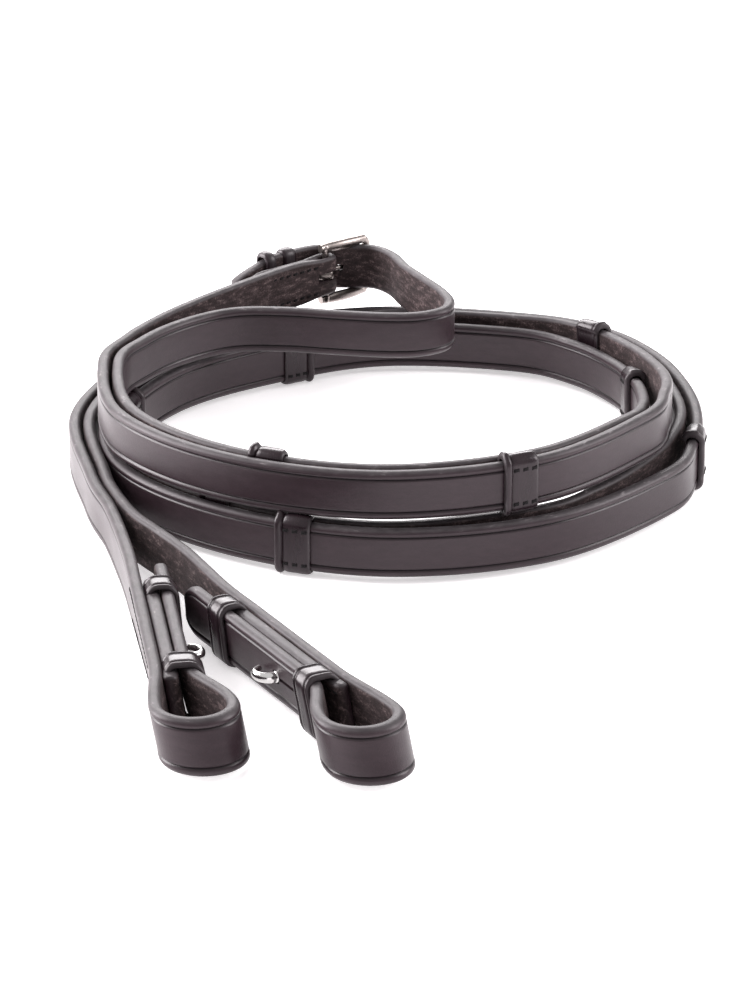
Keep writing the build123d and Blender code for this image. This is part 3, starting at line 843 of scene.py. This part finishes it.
def billet_threads(side):
    """Two rows on the rein's outer face, and the same rows on the backing where it shows in the loop."""
    place = billet_place(side)
    parts = []
    for k in range(18):
        a = 32 + 3.3 * k + 1.0
        for z in (ROW_IN, STRAP_W - ROW_IN):
            parts.append(stitch(lambda p, q, r: place(p, -q, r), a, STRAP_T / 2 + 0.02, FLOOR_Z + z,
                                length=2.1))
    for k in range(2):
        a = 20.3 + 3.0 * k
        for z in (ROW_IN, STRAP_W - ROW_IN):
            out = BACK_OFF + BACK_T / 2 + main_across(a) + 0.03
            parts.append(stitch(place, a, out, FLOOR_Z + z, length=2.1))
    data = merge(parts)
    ob = finish_mesh(f"{side}_billet_thread", data[0], data[1], THREAD)
    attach(ob, f"{side}_bit_end")
    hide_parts(f"{side}_billet_stitches")


for side in ("left", "right"):
    keeper(side, KEEPER_AT[0], f"{side}_keeper_loop")
    keeper(side, KEEPER_AT[1], f"{side}_keeper_tip")
    backing(side)
    hook_stud(side)
    billet_threads(side)


# ------------------------------------------------------------ buckle
def buckle_place(x, y, z):
    px, py = at_buckle(x, y)
    return np.array((px + COIL_CENTRE[0], py + COIL_CENTRE[1], BUCKLE_Z + STRAP_W / 2 + z))


def buckle():
    across = buckle_place(0, 1, 0) - buckle_place(0, 0, 0)
    half = FRAME_OPEN / 2 + FRAME_ROD / 2
    corner = 2.6
    path = []
    outline = [(-2.4, -half), (FRAME_L - corner, -half)]
    for a in range(-75, 1, 15):
        outline.append((FRAME_L - corner + corner * cos(radians(a)),
                        -half + corner + corner * sin(radians(a))))
    lower = smooth([(x, z, 0) for x, z in outline], 1.0)
    for x, z, _ in lower:
        path.append((x, z))
    path += [(FRAME_L, z) for z in np.linspace(-half + corner, half - corner, 12)[1:-1]]
    path += [(x, -z) for x, z, _ in reversed(lower)]
    points = [buckle_place(x, -0.7 * sin(pi * max(min(x, FRAME_L), 0) / FRAME_L), z) for x, z in path]

    def size(k):
        x, z = path[k]
        side_bar = abs(z) > half - 0.2
        bulge = sin(pi * min(max(x + 2, 0), FRAME_L) / FRAME_L) if side_bar else 0.0
        return (1.5 + 0.45 * bulge, 1.40 + 0.25 * bulge)
    parts = [tube(points, size, across, sides=18)]
    bar = [buckle_place(0, 0, z) for z in np.linspace(-half - 0.6, half + 0.6, 26)]
    parts.append(tube(bar, lambda k: (BAR_R, BAR_R), across, sides=20))
    for sign in (-1, 1):
        z_levels = (half - 1.35, half - 1.15, half - 0.4, half + 0.4, half + 0.95, half + 1.1)
        radius = (1.3, 1.62, 1.75, 1.72, 1.45, 0.9)
        boss = [buckle_place(-0.3, 0, sign * z) for z in z_levels]
        parts.append(tube(boss, lambda k: (radius[k], radius[k]), across, sides=20))
    data = merge(parts)
    ob = finish_mesh("buckle_frame_steel", data[0], data[1], BUCKLE_STEEL)
    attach(ob, "buckle_frame_body")
    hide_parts("buckle_frame")

    level = FRAME_ROD / 2 + TONGUE_R + 0.05
    curl = BAR_R + 0.1 + 0.55
    line = [(curl * cos(radians(a)) * (1.0 + 0.9 * max(-cos(radians(a)), 0.0)),
             curl * sin(radians(a)) * (1.0 + 0.75 * max(sin(radians(-a)), 0) ** 2))
            for a in range(-20, -271, -12)]
    line += [(x, curl + (level - curl) * ease(x, 0.5, 5)) for x in np.linspace(0.8, FRAME_L + 1.2, 22)]
    steps = len(line)

    def tongue_size(k):
        x = line[k][0]
        if k < 21:
            return (0.55, 1.55)
        f = ease(x, 0.5, 4.0)
        tip = sqrt(max(1 - max(0, (k - steps + 4) / 3.0) ** 2, 0.08))
        return ((0.55 + (TONGUE_R - 0.62) * f) * tip, (1.55 + (TONGUE_R - 1.62) * f) * tip)
    pin = tube([buckle_place(x, y, 0) for x, y in line], tongue_size, (0, 0, 1), sides=16)
    ob = finish_mesh("buckle_tongue_steel", pin[0], pin[1], BUCKLE_STEEL)
    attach(ob, "buckle_tongue_body")
    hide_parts("buckle_tongue")


def plain_section(length, crown):
    """Section of a narrow band without creases; crown raises its middle into a roll."""
    half = length / 2
    points = [(half * cos(radians(a)) * (1 - 0.12 * sin(radians(a))), crown * sin(radians(a)) ** 0.6)
              for a in range(0, 181, 12)]
    points += [(-half * 0.5, 0.0), (half * 0.5, 0.0)]
    return [(a, max(b, 0.0), (0.5 if b > 0.8 * crown else 0.0, 1.0 if b <= 0 else 0.0, 0.0))
            for a, b in points]


def buckle_keeper(name, along, across, length, gap, crown):
    turn = radians(2)

    def place(a, b, c):
        x, y = a * cos(turn) - b * sin(turn), a * sin(turn) + b * cos(turn)
        return buckle_place(x - along, y + across, c + 1.0)
    depth = STRAP_T / 2 + gap
    loop = rounded_loop(-depth, depth, -STRAP_W / 2 - 0.15, STRAP_W / 2 + 0.15, 1.6)
    data = band(loop, plain_section(length, crown), place, lambda nb, nz: 1.1)
    ob = finish_mesh(name + "_band", data[0], data[1], BAND, data[2], data[3], sharp=60)
    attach(ob, "coiled_reins")
    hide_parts(name)


buckle()
buckle_keeper("buckle_keeper_near", 12, 7.5, 5.6, 0.1, 0.95)
buckle_keeper("buckle_keeper_far", 21, 7.2, 4.4, 0.3, 1.5)
parts = []
for k in range(7):
    for height in (-4.8, 4.8):
        parts.append(stitch(lambda p, q, r: buckle_place(p, -q, r), -8 - 3.2 * k, 4.62 + 0.13 * k, height,
                            length=1.9))
data = merge(parts)
ob = finish_mesh("chape_thread", data[0], data[1], THREAD)
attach(ob, "coiled_reins")
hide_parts("chape_stitches")

# ------------------------------------------------------------ floor, light and camera
scene = bpy.context.scene
scene.view_settings.view_transform = "Standard"

bpy.ops.mesh.primitive_plane_add(size=12, location=(0, 0, 0))
floor = bpy.context.object
floor.name = "studio_floor"
white, shader, add, link = new_material("studio_white")
shader.inputs["Base Color"].default_value = (0.92, 0.90, 0.91, 1)
shader.inputs["Emission Color"].default_value = (1.0, 0.975, 0.985, 1)
shader.inputs["Emission Strength"].default_value = 0.5
shader.inputs["Roughness"].default_value = 0.6
shader.inputs["Specular IOR Level"].default_value = 0.2
floor.data.materials.append(white)

world = bpy.data.worlds.new("studio_world")
scene.world = world
world.use_nodes = True
world.node_tree.nodes["Background"].inputs["Color"].default_value = (1.0, 0.985, 0.99, 1)
world.node_tree.nodes["Background"].inputs["Strength"].default_value = 0.8


def softbox(name, place, target, size, power):
    light = bpy.data.lights.new(name, "AREA")
    light.shape = "RECTANGLE"
    light.size, light.size_y = size
    light.energy = power
    light.color = (1.0, 0.985, 0.99)
    ob = bpy.data.objects.new(name, light)
    scene.collection.objects.link(ob)
    ob.location = place
    ob.rotation_euler = (Vector(target) - Vector(place)).to_track_quat("-Z", "Y").to_euler()


softbox("softbox_left", (-1.2, 0.25, 0.6), (0, 0, 0.02), (0.8, 1.1), 44)
softbox("softbox_back", (-0.2, 1.3, 0.8), (0, 0, 0.02), (1.3, 0.6), 28)
softbox("softbox_right", (1.4, 0.1, 0.7), (0, 0, 0.02), (0.6, 0.9), 18)

camera = bpy.data.cameras.new("camera")
camera.lens = 151.9
camera.sensor_width = 36
view_from = bpy.data.objects.new("camera", camera)
scene.collection.objects.link(view_from)
elevation, distance = radians(22), 1.33
target = Vector((-0.00414, -0.01105, 0.016))
view_from.location = target + distance * Vector((0, -cos(elevation), sin(elevation)))
view_from.rotation_euler = (target - view_from.location).to_track_quat("-Z", "Y").to_euler()
camera.clip_start = 0.05
scene.camera = view_from
